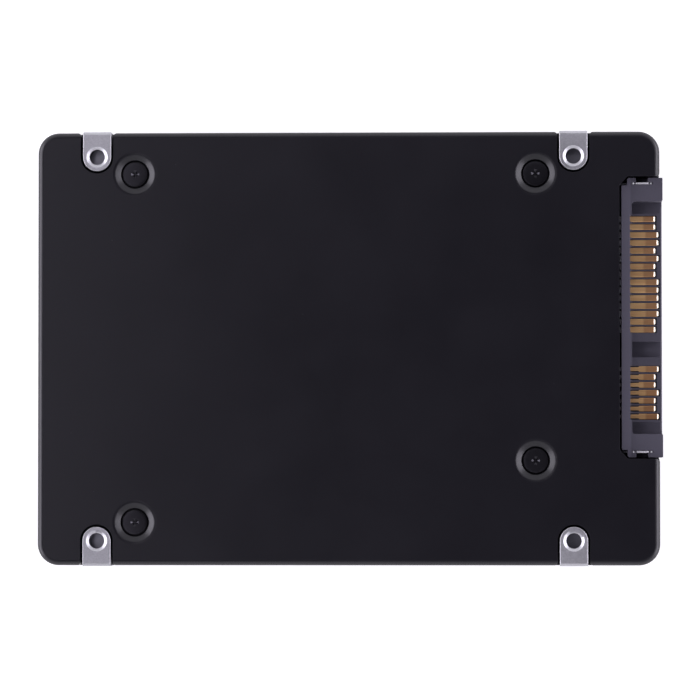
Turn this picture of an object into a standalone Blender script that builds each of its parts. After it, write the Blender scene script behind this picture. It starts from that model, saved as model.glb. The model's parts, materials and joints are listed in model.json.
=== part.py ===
"""Solid state drive in the 2.5-inch form factor, 7 mm high, with a SATA device plug.

The mounting face looks up (+Z), the plug points along +X and its power half lies towards +Y.
The origin is the centre of the drive's bounding box on the label face, where Z is 0.
"""

import math

import bmesh
import bpy
from mathutils import Matrix

MM = 0.001
GAP = 0.2 * MM  # clearance between pieces that touch

# Case. The lugs are the outermost and highest faces; the paint of the case stands a little back.
DRIVE_LENGTH = 100.45 * MM
DRIVE_WIDTH = 69.85 * MM
DRIVE_HEIGHT = 7.0 * MM
PLUG_PROUD = 0.5 * MM
LUG_PROUD = 0.125 * MM
COVER_TOP = DRIVE_HEIGHT - 0.08 * MM
CASE_BACK = -DRIVE_LENGTH / 2
CASE_FRONT = DRIVE_LENGTH / 2 - PLUG_PROUD
CASE_HALF_WIDTH = DRIVE_WIDTH / 2 - LUG_PROUD
CASE_CORNER = 3.4 * MM
LEAST_CORNER = 0.6 * MM
COVER_EDGE = 0.8 * MM
SHELL_EDGE = 0.6 * MM
PARTING = 3.5 * MM
PLATE = 1.0 * MM
SKIRT = 1.0 * MM
LIP = 0.8 * MM
LIP_RISE = 0.9 * MM

# Mounting holes: four in the lugs' top faces, four in their sides, on the same two stations.
HOLE_TO_FRONT = 13.8 * MM
HOLE_SPACING_X = 76.6 * MM
HOLE_SPACING_Y = 61.72 * MM
HOLE_STATIONS = (CASE_FRONT - HOLE_TO_FRONT, CASE_FRONT - HOLE_TO_FRONT - HOLE_SPACING_X)
M3_RADIUS = 1.25 * MM
COUNTERSINK_RADIUS = 1.7 * MM
TOP_HOLE_DEPTH = 3.0 * MM
SIDE_HOLE_DEPTH = 2.4 * MM
SIDE_HOLE_Z = DRIVE_HEIGHT - 3.0 * MM
LUG_WIDTH = 4.5 * MM
LUG_BASE = 0.8 * MM
LUG_CHAMFER = 0.12 * MM
LUG_CLEARANCE = 0.4 * MM
MOUTH_FLARE = 0.5 * MM

# Case screws, from the centre of the mounting-hole pattern.
PATTERN_X = sum(HOLE_STATIONS) / 2
SCREW_PLACES = (
    (PATTERN_X - 32.2 * MM, 28.1 * MM),
    (PATTERN_X + 32.2 * MM, 28.1 * MM),
    (PATTERN_X - 32.2 * MM, -27.9 * MM),
    (PATTERN_X + 32.2 * MM, -18.0 * MM),
)
DIMPLE_RADIUS = 3.3 * MM
CONE_RADIUS = 2.3 * MM
CONE_BOTTOM = 6.2 * MM
SEAT_RADIUS = 2.2 * MM
CUP_WALL = 0.8 * MM
SEAT_TOP = 5.5 * MM
SEAT_BOTTOM = 4.7 * MM
SCREW_HEAD_RADIUS = 2.0 * MM
SCREW_HEAD_HEIGHT = 0.72 * MM
SCREW_HEAD_BEVEL = 0.1 * MM
SCREW_SHANK_RADIUS = 0.9 * MM
SCREW_TIP_Z = 2.2 * MM
POST_RADIUS = 2.1 * MM
POST_FOOT_RADIUS = 3.2 * MM
POST_BORE_RADIUS = SCREW_SHANK_RADIUS + GAP
POST_BORE_BOTTOM = 1.8 * MM
RECESS_RADIUS = 0.55 * MM
RECESS_DEPTH = 0.5 * MM

# Circuit board and what stands on it.
BOARD_BOTTOM = 2.5 * MM
BOARD_TOP = 3.5 * MM
BOARD_BACK = CASE_BACK + 3.5 * MM
BOARD_FRONT = CASE_FRONT - 6.35 * MM
BOARD_HALF_WIDTH = 31.6 * MM
BOARD_CORNER = 1.5 * MM
SOLDER_GAP = 0.1 * MM
CHIP_BEVEL = 0.15 * MM
SOFT_BEVEL = 0.1 * MM
CAPACITOR_BEVEL = 0.2 * MM
INDUCTOR_BEVEL = 0.4 * MM
CHIPS = (
    ("controller", (20 * MM, 3 * MM), (17 * MM, 17 * MM, 1.2 * MM)),
    ("dram", (4 * MM, 16 * MM), (10 * MM, 13 * MM, 1.0 * MM)),
    ("power_chip", (36.5 * MM, -5 * MM), (5 * MM, 5 * MM, 0.9 * MM)),
)
CRYSTAL_PLACE, CRYSTAL_SIZE = (5 * MM, -4 * MM), (3.2 * MM, 2.5 * MM, 0.8 * MM)
INDUCTOR_PLACES = ((36.5 * MM, 8 * MM), (36.5 * MM, 15 * MM))
INDUCTOR_SIZE = (4.2 * MM, 4.2 * MM, 1.9 * MM)
FLASH_PLACES = tuple((x, y) for x in (-9 * MM, -23.5 * MM) for y in (11 * MM, -11 * MM))
FLASH_SIZE = (12 * MM, 18 * MM, 1.0 * MM)
CAPACITOR_COUNT, CAPACITOR_X, CAPACITOR_PITCH = 6, -41.5 * MM, 6.2 * MM
CAPACITOR_SIZE = (7.3 * MM, 4.3 * MM, 1.9 * MM)
PADS = (
    ("controller_pad", (20 * MM, 3 * MM), (15 * MM, 15 * MM), 1.2 * MM),
    ("flash_pad", (-16.25 * MM, 0), (24 * MM, 36 * MM), 1.0 * MM),
)

# Plug. Stations along X are measured back from the case's connector end.
PLUG_Y = 4.93 * MM
PLUG_BOTTOM = 1.25 * MM
PLUG_TOP = 6.0 * MM
PLUG_FRONT = DRIVE_LENGTH / 2
ROOT_X = CASE_FRONT - 4.45 * MM
BASE_BACK = CASE_FRONT - 6.12 * MM
BASE_HALF_WIDTH = 21.25 * MM
ARM_BACK = CASE_FRONT - 5.2 * MM
ARM_OUTER = 22.44 * MM
ARM_INNER = 18.675 * MM
ARM_NOTCH_DEPTH = 0.8 * MM
ARM_NOTCH_X = (CASE_FRONT - 3.83 * MM, CASE_FRONT - 1.83 * MM)
ARM_NOTCH_FLOOR = 3.8 * MM
ARM_CHAMFER = 0.35 * MM
BAY_FLOOR = 1.6 * MM
BLADE_BACK = ROOT_X - 0.8 * MM
BLADE_TIP = PLUG_FRONT - 0.1 * MM
BLADE_BOTTOM = 2.88 * MM
BLADE_TOP = 4.12 * MM
BLADE_CHAMFER = 0.12 * MM
LEG_BOTTOM = 1.75 * MM
LEG_THICKNESS = 1.15 * MM
LEG_INSET = 0.02 * MM
PITCH = 1.27 * MM
FIRST_POWER_Y = PLUG_Y - 1.88 * MM
POWER_COUNT = 15
FIRST_SIGNAL_Y = FIRST_POWER_Y - 6.35 * MM
SIGNAL_COUNT = 7
POWER_BLADE_Y = (PLUG_Y - 3.815 * MM, PLUG_Y + 16.755 * MM)
SIGNAL_BLADE_Y = (PLUG_Y - 16.735 * MM, PLUG_Y - 6.325 * MM)
LONG_POWER = (3, 4, 5, 6, 7, 10, 12, 13)
LONG_SIGNAL = (1, 4, 7)
LONG_TIP = PLUG_FRONT - 0.5 * MM
SHORT_TIP = PLUG_FRONT - 1.0 * MM
CONTACT_WIDTH = 0.9 * MM
CONTACT_THICKNESS = 0.2 * MM
CONTACT_TOP = BLADE_TOP + 0.03 * MM
GROOVE_CLEARANCE = 0.08 * MM
TIP_BEVEL = (0.25 * MM, 0.05 * MM, 0.06 * MM)
TAIL_BEND_X = (BASE_BACK - 0.2 * MM, BASE_BACK - 0.55 * MM)
TAIL_SHIFT = 0.05 * MM
TAIL_END = BASE_BACK - 1.35 * MM
LOCK_Y = 21.54 * MM
LOCK_X = (CASE_FRONT - 4.4 * MM, CASE_FRONT - 1.15 * MM)
LOCK_THICKNESS = 0.3 * MM
LOCK_Z = (3.0 * MM, 5.9 * MM)
LOCK_STRIP_Z = (3.9 * MM, 4.6 * MM)
LOCK_FOOT_X = (BASE_BACK - 2.0 * MM, BASE_BACK - 0.6 * MM)
LOCK_FOOT_WIDTH = 1.6 * MM
LOCK_CLEARANCE = 0.1 * MM

# Openings of the case for the plug.
PLUG_CLEARANCE = 0.2 * MM
NOTCH_BACK = CASE_FRONT - 6.45 * MM
NOTCH_CHAMFER = (1.3 * MM, 1.5 * MM)

# Label on the far face.
LABEL_LENGTH = 88.0 * MM
LABEL_WIDTH = 58.0 * MM
LABEL_CORNER = 2.0 * MM
LABEL_RECESS = 0.2 * MM
LABEL_THICKNESS = 0.1 * MM
LABEL_LIFT = 0.03 * MM

ROUND_STEPS = 32
BORE_STEPS = 24
CORNER_STEPS = 6
FILLET_STEPS = 4


# ---------------------------------------------------------------- outlines


def arc(x, y, radius, start, sweep, steps):
    """Points on an arc, with its angles in degrees."""
    angles = [math.radians(start + sweep * i / steps) for i in range(steps + 1)]
    return [(x + radius * math.cos(a), y + radius * math.sin(a)) for a in angles]


def circle(x, y, radius, steps=ROUND_STEPS):
    return arc(x, y, radius, 0, 360, steps)[:-1]


def rectangle(x_low, x_high, y_low, y_high):
    return [(x_low, y_low), (x_high, y_low), (x_high, y_high), (x_low, y_high)]


def rounded(x_low, x_high, y_low, y_high, radius, steps=CORNER_STEPS):
    """A rectangle with round corners, counter-clockwise from its right side."""
    left, right, low, high = x_low + radius, x_high - radius, y_low + radius, y_high - radius
    corners = ((right, high, 0), (left, high, 90), (left, low, 180), (right, low, 270))
    return [p for x, y, start in corners for p in arc(x, y, radius, start, 90, steps)]


def case_outline(inset):
    """The case's outline, moved in by inset."""
    return rounded(
        CASE_BACK + inset,
        CASE_FRONT - inset,
        -CASE_HALF_WIDTH + inset,
        CASE_HALF_WIDTH - inset,
        max(CASE_CORNER - inset, LEAST_CORNER),
    )


def tongue(x, side, radius, reach):
    """A lug's outline: round about its hole, straight out to |y| = reach on that side."""
    hole_y = HOLE_SPACING_Y / 2
    points = arc(x, hole_y, radius, 180, 180, 12) + [(x + radius, reach), (x - radius, reach)]
    return points if side > 0 else [(px, -py) for px, py in reversed(points)]


# ---------------------------------------------------------------- solids


def loft(mesh, layers, place=None):
    """Adds one closed body through outlines of equal length, each a pair of points and a height."""
    place = place or Matrix()
    rings = []
    for outline, z in layers:
        rings.append([mesh.verts.new((x, y, z)) for x, y in outline])
    for low, high in zip(rings, rings[1:]):
        for i, start in enumerate(low):
            j = (i + 1) % len(low)
            mesh.faces.new((start, low[j], high[j], high[i]))
    mesh.faces.new(reversed(rings[0]))
    mesh.faces.new(rings[-1])
    bmesh.ops.transform(mesh, matrix=place, verts=[v for ring in rings for v in ring])


def prism(mesh, outline, z_low, z_high, place=None):
    loft(mesh, [(outline, z_low), (outline, z_high)], place)


def box(mesh, x_range, y_range, z_range):
    prism(mesh, rectangle(*x_range, *y_range), *z_range)


def turned(mesh, x, y, profile, steps=ROUND_STEPS):
    """Adds a turned body about the vertical through (x, y); profile runs along its outer side."""
    loft(mesh, [(circle(x, y, radius, steps), z) for radius, z in profile])


def make(name, mesh, material=None, smooth=True):
    """Turns a bmesh into an object in the scene."""
    bmesh.ops.recalc_face_normals(mesh, faces=mesh.faces)
    data = bpy.data.meshes.new(name)
    mesh.to_mesh(data)
    mesh.free()
    if material:
        data.materials.append(material)
    if smooth:
        data.shade_smooth()
        data.set_sharp_from_angle(angle=math.radians(32))
    piece = bpy.data.objects.new(name, data)
    bpy.context.scene.collection.objects.link(piece)
    return piece


def combine(target, operation, name, mesh):
    """Adds an exact Boolean with a helper mesh that itself stays out of the model."""
    helper = make(name, mesh, smooth=False)
    helper.hide_render = True
    helper.display_type = "WIRE"
    boolean = target.modifiers.new(name, "BOOLEAN")
    boolean.solver = "EXACT"
    boolean.operation = operation
    boolean.object = helper


def finish(name, colour, roughness, metallic):
    """A Principled material."""
    material = bpy.data.materials.new(name)
    material.use_nodes = True
    shader = material.node_tree.nodes["Principled BSDF"]
    shader.inputs["Base Color"].default_value = (*colour, 1)
    shader.inputs["Roughness"].default_value = roughness
    shader.inputs["Metallic"].default_value = metallic
    return material


# ---------------------------------------------------------------- case


def edge_layers(edge, z_flat, z_turn):
    """Layers of a rounded outer edge, from the wall at z_turn to the flat face at z_flat."""
    rise = z_flat - z_turn
    layers = []
    for i in range(FILLET_STEPS + 1):
        angle = math.pi / 2 * i / FILLET_STEPS
        layers.append((case_outline(edge * (1 - math.cos(angle))), z_turn + rise * math.sin(angle)))
    return layers


def screw_posts(mesh):
    for x, y in SCREW_PLACES:
        profile = (
            (POST_FOOT_RADIUS, PLATE - GAP),
            (POST_FOOT_RADIUS, BOARD_BOTTOM - GAP),
            (POST_RADIUS, BOARD_BOTTOM - GAP),
            (POST_RADIUS, SEAT_BOTTOM - GAP),
        )
        turned(mesh, x, y, profile, BORE_STEPS)


def lugs(mesh):
    radius = LUG_WIDTH / 2
    for x in HOLE_STATIONS:
        for side in (1, -1):
            full = tongue(x, side, radius, DRIVE_WIDTH / 2)
            chamfered = tongue(x, side, radius - LUG_CHAMFER, DRIVE_WIDTH / 2 - LUG_CHAMFER)
            loft(
                mesh,
                [(full, LUG_BASE), (full, DRIVE_HEIGHT - LUG_CHAMFER), (chamfered, DRIVE_HEIGHT)],
            )


def mounting_bores(mesh):
    """Countersunk M3 holes, down into each lug's top face and in from its side face."""
    step = COUNTERSINK_RADIUS - M3_RADIUS
    mouth = COUNTERSINK_RADIUS + GAP
    face = DRIVE_WIDTH / 2
    for x in HOLE_STATIONS:
        for side in (1, -1):
            top = (
                (M3_RADIUS, DRIVE_HEIGHT - TOP_HOLE_DEPTH),
                (M3_RADIUS, DRIVE_HEIGHT - step),
                (mouth, DRIVE_HEIGHT + GAP),
            )
            turned(mesh, x, side * HOLE_SPACING_Y / 2, top, BORE_STEPS)
            layers = [
                (circle(0, 0, M3_RADIUS, BORE_STEPS), face - SIDE_HOLE_DEPTH),
                (circle(0, 0, M3_RADIUS, BORE_STEPS), face - step / 2),
                (circle(0, 0, M3_RADIUS + step / 2 + GAP, BORE_STEPS), face + GAP),
            ]
            turn = Matrix.Rotation(math.radians(-90 * side), 4, "X")
            place = Matrix.Translation((x, 0, SIDE_HOLE_Z)) @ turn
            loft(mesh, layers, place)


def plug_opening(mesh, z_low, z_high):
    """The mouth in the case's front wall around the plug's arms."""
    half = ARM_OUTER + PLUG_CLEARANCE
    box(mesh, (BASE_BACK - MM, CASE_FRONT + MM), (PLUG_Y - half, PLUG_Y + half), (z_low, z_high))


def top_shell(paint):
    """The die-cast tray on the label side, with its walls, lugs and screw posts."""
    body = bmesh.new()
    layers = list(reversed(edge_layers(SHELL_EDGE, 0, SHELL_EDGE)))
    layers.append((case_outline(0), PARTING - GAP / 2))
    loft(body, layers)
    shell = make("top_shell", body, paint)

    lip = bmesh.new()
    prism(lip, case_outline(SKIRT + GAP), PLATE + MM, PARTING + LIP_RISE)
    combine(shell, "UNION", "shell_lip", lip)

    room = bmesh.new()
    prism(room, case_outline(SKIRT + GAP + LIP), PLATE, DRIVE_HEIGHT + MM)
    combine(shell, "DIFFERENCE", "shell_room", room)

    mouth = bmesh.new()
    plug_opening(mouth, PLATE, DRIVE_HEIGHT + MM)
    combine(shell, "DIFFERENCE", "shell_mouth", mouth)

    stands = bmesh.new()
    lugs(stands)
    screw_posts(stands)
    combine(shell, "UNION", "lugs_and_posts", stands)

    bores = bmesh.new()
    mounting_bores(bores)
    for x, y in SCREW_PLACES:
        bore = ((POST_BORE_RADIUS, POST_BORE_BOTTOM), (POST_BORE_RADIUS, SEAT_TOP))
        turned(bores, x, y, bore, BORE_STEPS)
    combine(shell, "DIFFERENCE", "shell_bores", bores)

    recess = bmesh.new()
    outline = rounded(
        -LABEL_LENGTH / 2 - GAP,
        LABEL_LENGTH / 2 + GAP,
        -LABEL_WIDTH / 2 - GAP,
        LABEL_WIDTH / 2 + GAP,
        LABEL_CORNER,
    )
    prism(recess, outline, -MM, LABEL_RECESS)
    combine(shell, "DIFFERENCE", "label_recess", recess)


def lug_notches(mesh):
    """U-shaped notches around the lugs, with their mouths flared at the cover's edge."""
    radius = LUG_WIDTH / 2 + LUG_CLEARANCE
    edge = CASE_HALF_WIDTH
    reach = edge + MM
    for x in HOLE_STATIONS:
        for side in (1, -1):
            points = arc(x, HOLE_SPACING_Y / 2, radius, 180, 180, 12)
            points += [
                (x + radius, edge - MOUTH_FLARE),
                (x + radius + MOUTH_FLARE, edge),
                (x + radius + MOUTH_FLARE, reach),
                (x - radius - MOUTH_FLARE, reach),
                (x - radius - MOUTH_FLARE, edge),
                (x - radius, edge - MOUTH_FLARE),
            ]
            outline = points if side > 0 else [(px, -py) for px, py in reversed(points)]
            prism(mesh, outline, PARTING - MM, DRIVE_HEIGHT + MM)


def plug_notch(mesh):
    """The notch at the connector end, with its two inner corners cut off."""
    half = ARM_OUTER + PLUG_CLEARANCE
    low, high = PLUG_Y - half, PLUG_Y + half
    out = CASE_FRONT + MM
    outline = [
        (NOTCH_BACK, low + NOTCH_CHAMFER[1]),
        (NOTCH_BACK + NOTCH_CHAMFER[0], low),
        (out, low),
        (out, high),
        (NOTCH_BACK + NOTCH_CHAMFER[0], high),
        (NOTCH_BACK, high - NOTCH_CHAMFER[1]),
    ]
    prism(mesh, outline, PARTING - MM, DRIVE_HEIGHT + MM)


def bottom_cover(paint):
    """The cover with the mounting face, its skirt, screw dimples and notches."""
    body = bmesh.new()
    bottom = PARTING + GAP / 2
    loft(body, [(case_outline(0), bottom)] + edge_layers(COVER_EDGE, COVER_TOP, COVER_TOP - COVER_EDGE))
    cover = make("bottom_cover", body, paint)

    room = bmesh.new()
    prism(room, case_outline(SKIRT), bottom - MM, COVER_TOP - PLATE)
    combine(cover, "DIFFERENCE", "cover_room", room)

    cups = bmesh.new()
    cup_radius = SEAT_RADIUS + CUP_WALL
    for x, y in SCREW_PLACES:
        turned(cups, x, y, ((cup_radius, SEAT_BOTTOM), (cup_radius, COVER_TOP - PLATE / 2)))
    combine(cover, "UNION", "cover_cups", cups)

    dimples = bmesh.new()
    above = COVER_TOP + GAP
    slope = (DIMPLE_RADIUS - CONE_RADIUS) / (COVER_TOP - CONE_BOTTOM)
    for x, y in SCREW_PLACES:
        profile = (
            (POST_BORE_RADIUS, SEAT_BOTTOM - GAP),
            (POST_BORE_RADIUS, SEAT_TOP),
            (SEAT_RADIUS, SEAT_TOP),
            (CONE_RADIUS, CONE_BOTTOM),
            (CONE_RADIUS + slope * (above - CONE_BOTTOM), above),
        )
        turned(dimples, x, y, profile)
    combine(cover, "DIFFERENCE", "cover_dimples", dimples)

    notches = bmesh.new()
    lug_notches(notches)
    plug_notch(notches)
    combine(cover, "DIFFERENCE", "cover_notches", notches)


def case_screws(steel):
    """Four low-head screws, each with a round driver recess."""
    under = SEAT_TOP + GAP / 2
    head = under + SCREW_HEAD_HEIGHT
    profile = (
        (SCREW_SHANK_RADIUS, SCREW_TIP_Z),
        (SCREW_SHANK_RADIUS, under),
        (SCREW_HEAD_RADIUS, under),
        (SCREW_HEAD_RADIUS, head - SCREW_HEAD_BEVEL),
        (SCREW_HEAD_RADIUS - SCREW_HEAD_BEVEL, head),
        (RECESS_RADIUS, head),
        (RECESS_RADIUS * 0.8, head - RECESS_DEPTH),
    )
    for number, (x, y) in enumerate(SCREW_PLACES, 1):
        mesh = bmesh.new()
        turned(mesh, x, y, profile, BORE_STEPS)
        make(f"case_screw_{number}", mesh, steel)


def label(paper):
    mesh = bmesh.new()
    outline = rounded(
        -LABEL_LENGTH / 2, LABEL_LENGTH / 2, -LABEL_WIDTH / 2, LABEL_WIDTH / 2, LABEL_CORNER
    )
    prism(mesh, outline, LABEL_LIFT, LABEL_LIFT + LABEL_THICKNESS)
    make("blank_label", mesh, paper)


# ---------------------------------------------------------------- board


def circuit_board(laminate):
    """The board, cut out around the lugs and holed for the posts that it rests on."""
    body = bmesh.new()
    outline = rounded(BOARD_BACK, BOARD_FRONT, -BOARD_HALF_WIDTH, BOARD_HALF_WIDTH, BOARD_CORNER)
    prism(body, outline, BOARD_BOTTOM, BOARD_TOP)
    board = make("circuit_board", body, laminate)

    cutouts = bmesh.new()
    z_range = (BOARD_BOTTOM - MM, BOARD_TOP + MM)
    for x in HOLE_STATIONS:
        for side in (1, -1):
            around = tongue(x, side, LUG_WIDTH / 2 + LUG_CLEARANCE, BOARD_HALF_WIDTH + MM)
            prism(cutouts, around, *z_range)
    for x, y in SCREW_PLACES:
        prism(cutouts, circle(x, y, POST_RADIUS + GAP, BORE_STEPS), *z_range)
    combine(board, "DIFFERENCE", "board_cutouts", cutouts)


def package(name, centre, size, lift, material, bevel=CHIP_BEVEL):
    """A chip: a block with cut-off top edges. lift is the height of its underside."""
    x, y = centre
    length, width, height = size
    half_x, half_y = length / 2, width / 2
    full = rectangle(x - half_x, x + half_x, y - half_y, y + half_y)
    inner = rectangle(x - half_x + bevel, x + half_x - bevel, y - half_y + bevel, y + half_y - bevel)
    mesh = bmesh.new()
    top = lift + height
    loft(mesh, [(full, lift), (full, top - bevel), (inner, top)])
    make(name, mesh, material)


def board_parts(finishes):
    """The chips, capacitors, inductors and pads on both faces of the board."""
    stand = BOARD_TOP + SOLDER_GAP
    for name, centre, size in CHIPS:
        package(name, centre, size, stand, finishes["chip"])
    package("crystal", CRYSTAL_PLACE, CRYSTAL_SIZE, stand, finishes["can"])
    for number, place in enumerate(INDUCTOR_PLACES, 1):
        name = f"power_inductor_{number}"
        package(name, place, INDUCTOR_SIZE, stand, finishes["ferrite"], INDUCTOR_BEVEL)

    below = BOARD_BOTTOM - SOLDER_GAP - FLASH_SIZE[2]
    for number, place in enumerate(FLASH_PLACES, 1):
        package(f"flash_{number}", place, FLASH_SIZE, stand, finishes["chip"])
        name = f"flash_{number + len(FLASH_PLACES)}"
        package(name, place, FLASH_SIZE, below, finishes["chip"], SOFT_BEVEL)

    for number in range(CAPACITOR_COUNT):
        place = (CAPACITOR_X, (number - (CAPACITOR_COUNT - 1) / 2) * CAPACITOR_PITCH)
        name = f"hold_up_capacitor_{number + 1}"
        package(name, place, CAPACITOR_SIZE, stand, finishes["capacitor"], CAPACITOR_BEVEL)

    pad_top = COVER_TOP - PLATE - SOLDER_GAP
    for name, centre, (length, width), chip_height in PADS:
        low = stand + chip_height + SOLDER_GAP
        package(name, centre, (length, width, pad_top - low), low, finishes["pad"], SOFT_BEVEL)


# ---------------------------------------------------------------- plug


def contact_stations():
    """(name, centre line's y, tip's x) of each contact."""
    for number in range(1, POWER_COUNT + 1):
        tip = LONG_TIP if number in LONG_POWER else SHORT_TIP
        yield f"power_contact_{number:02d}", FIRST_POWER_Y + (number - 1) * PITCH, tip
    for number in range(1, SIGNAL_COUNT + 1):
        tip = LONG_TIP if number in LONG_SIGNAL else SHORT_TIP
        yield f"signal_contact_{number}", FIRST_SIGNAL_Y - (SIGNAL_COUNT - number) * PITCH, tip


def side_prism(mesh, profile, y_low, y_high):
    """Extrudes a closed profile of (x, z) points along Y."""
    turn = Matrix.Rotation(math.radians(90), 4, "X")
    prism(mesh, profile, -y_high, -y_low, turn)


def blade(low, high, front):
    """The profile of a blade or a leg, with its lower and upper front edges cut off."""
    cut = BLADE_CHAMFER
    lower = [(BLADE_BACK, low), (front - cut, low), (front, low + cut)]
    return lower + [(front, high - cut), (front - cut, high), (BLADE_BACK, high)]


def plug_housing(plastic):
    """The moulded plug: base bar, two end arms, a thin floor between them, and two L-shaped blades
    with contact grooves."""
    body = bmesh.new()
    base, outer = BASE_HALF_WIDTH, ARM_OUTER
    half = [
        (BASE_BACK, base),
        (ARM_BACK, base),
        (ARM_BACK, outer - ARM_CHAMFER),
        (ARM_BACK + ARM_CHAMFER, outer),
        (PLUG_FRONT, outer),
    ]
    whole = half + [(x, -y) for x, y in reversed(half)]
    prism(body, [(x, PLUG_Y + y) for x, y in reversed(whole)], PLUG_BOTTOM, PLUG_TOP)
    housing = make("plug_housing", body, plastic)

    above, out = PLUG_TOP + MM, ARM_OUTER + MM
    bay = bmesh.new()
    box(bay, (ROOT_X, PLUG_FRONT + MM), (PLUG_Y - ARM_INNER, PLUG_Y + ARM_INNER), (BAY_FLOOR, above))
    for sides in ((outer - ARM_NOTCH_DEPTH, out), (-out, ARM_NOTCH_DEPTH - outer)):
        y_range = [PLUG_Y + y for y in sides]
        box(bay, ARM_NOTCH_X, y_range, (ARM_NOTCH_FLOOR, above))
    combine(housing, "DIFFERENCE", "plug_bay", bay)

    blades = bmesh.new()
    for y_low, y_high in (POWER_BLADE_Y, SIGNAL_BLADE_Y):
        side_prism(blades, blade(BLADE_BOTTOM, BLADE_TOP, BLADE_TIP), y_low, y_high)
    combine(housing, "UNION", "plug_blades", blades)

    legs = bmesh.new()
    leg = blade(LEG_BOTTOM, BLADE_TOP - 2 * BLADE_CHAMFER, BLADE_TIP - LEG_INSET)
    power_leg = (POWER_BLADE_Y[0] + LEG_INSET, POWER_BLADE_Y[0] + LEG_THICKNESS)
    signal_leg = (SIGNAL_BLADE_Y[1] - LEG_THICKNESS, SIGNAL_BLADE_Y[1] - LEG_INSET)
    for y_low, y_high in (power_leg, signal_leg):
        side_prism(legs, leg, y_low, y_high)
    combine(housing, "UNION", "plug_legs", legs)

    grooves = bmesh.new()
    side = CONTACT_WIDTH / 2 + GROOVE_CLEARANCE
    floor = CONTACT_TOP - CONTACT_THICKNESS - GROOVE_CLEARANCE
    for _, y, contact_tip in contact_stations():
        box(
            grooves,
            (BASE_BACK - MM, contact_tip + GROOVE_CLEARANCE),
            (y - side, y + side),
            (floor, CONTACT_TOP + GROOVE_CLEARANCE),
        )
    back, front = LOCK_X[0] - LOCK_CLEARANCE, LOCK_X[1] + LOCK_CLEARANCE
    tunnel_low, tunnel_high = LOCK_STRIP_Z[0] - GAP, LOCK_STRIP_Z[1] + GAP
    slot = [
        (ARM_BACK - MM, tunnel_low),
        (back, tunnel_low),
        (back, LOCK_Z[0] - GAP),
        (front, LOCK_Z[0] - GAP),
        (front, above),
        (back, above),
        (back, tunnel_high),
        (ARM_BACK - MM, tunnel_high),
    ]
    half_slot = LOCK_THICKNESS / 2 + LOCK_CLEARANCE
    for end in (1, -1):
        y = PLUG_Y + end * LOCK_Y
        side_prism(grooves, slot, y - half_slot, y + half_slot)
    combine(housing, "DIFFERENCE", "plug_grooves", grooves)


def contacts(gold):
    """Each contact: a flat blade with a bevelled tip, and a tail that steps down to the board."""
    top, thick = CONTACT_TOP, CONTACT_THICKNESS
    foot = BOARD_TOP + SOLDER_GAP
    near, far = TAIL_BEND_X
    run, nose, dip = TIP_BEVEL
    for name, y, tip in contact_stations():
        profile = [
            (TAIL_END, foot),
            (far, foot),
            (near, top - thick),
            (tip, top - thick),
            (tip - nose, top - dip),
            (tip - run, top),
            (near - TAIL_SHIFT, top),
            (far - TAIL_SHIFT, foot + thick),
            (TAIL_END, foot + thick),
        ]
        mesh = bmesh.new()
        side_prism(mesh, profile, y - CONTACT_WIDTH / 2, y + CONTACT_WIDTH / 2)
        make(name, mesh, gold)


def board_locks(metal):
    """Clips in the end arms: a plate in the arm, a strip back to the board, and a soldered foot."""
    foot_z = BOARD_TOP + SOLDER_GAP
    back, front = LOCK_FOOT_X[0], LOCK_X[1]
    plate_back = LOCK_X[0]
    strip_low, strip_high = LOCK_STRIP_Z
    for number, side in enumerate((1, -1), 1):
        y = PLUG_Y + side * LOCK_Y
        profile = [
            (back, foot_z),
            (LOCK_FOOT_X[1], foot_z),
            (LOCK_FOOT_X[1], strip_low),
            (plate_back, strip_low),
            (plate_back, LOCK_Z[0]),
            (front, LOCK_Z[0]),
            (front, LOCK_Z[1]),
            (plate_back, LOCK_Z[1]),
            (plate_back, strip_high),
            (back, strip_high),
        ]
        mesh = bmesh.new()
        side_prism(mesh, profile, y - LOCK_THICKNESS / 2, y + LOCK_THICKNESS / 2)
        lock = make(f"board_lock_{number}", mesh, metal)
        foot = bmesh.new()
        inward = y - side * LOCK_FOOT_WIDTH
        box(foot, LOCK_FOOT_X, sorted((inward, y)), (foot_z, foot_z + LOCK_THICKNESS))
        combine(lock, "UNION", f"board_lock_foot_{number}", foot)


# ---------------------------------------------------------------- model


def build():
    for piece in list(bpy.data.objects):
        bpy.data.objects.remove(piece)
    paint = finish("black_paint", (0.018, 0.017, 0.022), 0.45, 0.0)
    plastic = finish("plug_plastic", (0.075, 0.072, 0.09), 0.5, 0.0)
    gold = finish("contact_gold", (0.75, 0.5, 0.24), 0.3, 1.0)
    steel = finish("black_screw", (0.02, 0.02, 0.022), 0.4, 0.6)
    metal = finish("bare_metal", (0.75, 0.75, 0.76), 0.3, 1.0)
    finishes = {
        "chip": finish("chip_epoxy", (0.02, 0.02, 0.022), 0.6, 0.0),
        "capacitor": finish("capacitor_body", (0.62, 0.45, 0.1), 0.5, 0.0),
        "can": finish("crystal_can", (0.7, 0.7, 0.7), 0.3, 1.0),
        "ferrite": finish("inductor_ferrite", (0.09, 0.09, 0.095), 0.7, 0.0),
        "pad": finish("thermal_pad", (0.45, 0.52, 0.62), 0.85, 0.0),
    }
    top_shell(paint)
    bottom_cover(paint)
    case_screws(steel)
    label(finish("label_paper", (0.8, 0.8, 0.79), 0.6, 0.0))
    circuit_board(finish("board_laminate", (0.015, 0.1, 0.05), 0.5, 0.0))
    board_parts(finishes)
    plug_housing(plastic)
    contacts(gold)
    board_locks(metal)


build()
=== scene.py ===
"""Looks of a 2.5-inch solid state drive that lies on its label face, its mounting face up.

Each visible casting, moulding, screw and contact replaces its plain solid of the frame. The board and
what stands on it inside the closed case keep their solids and get materials. Lengths are in metres.
"""

import json
import math

import bmesh
import bpy
from mathutils import Matrix, Vector
from mathutils.geometry import tessellate_polygon


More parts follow.
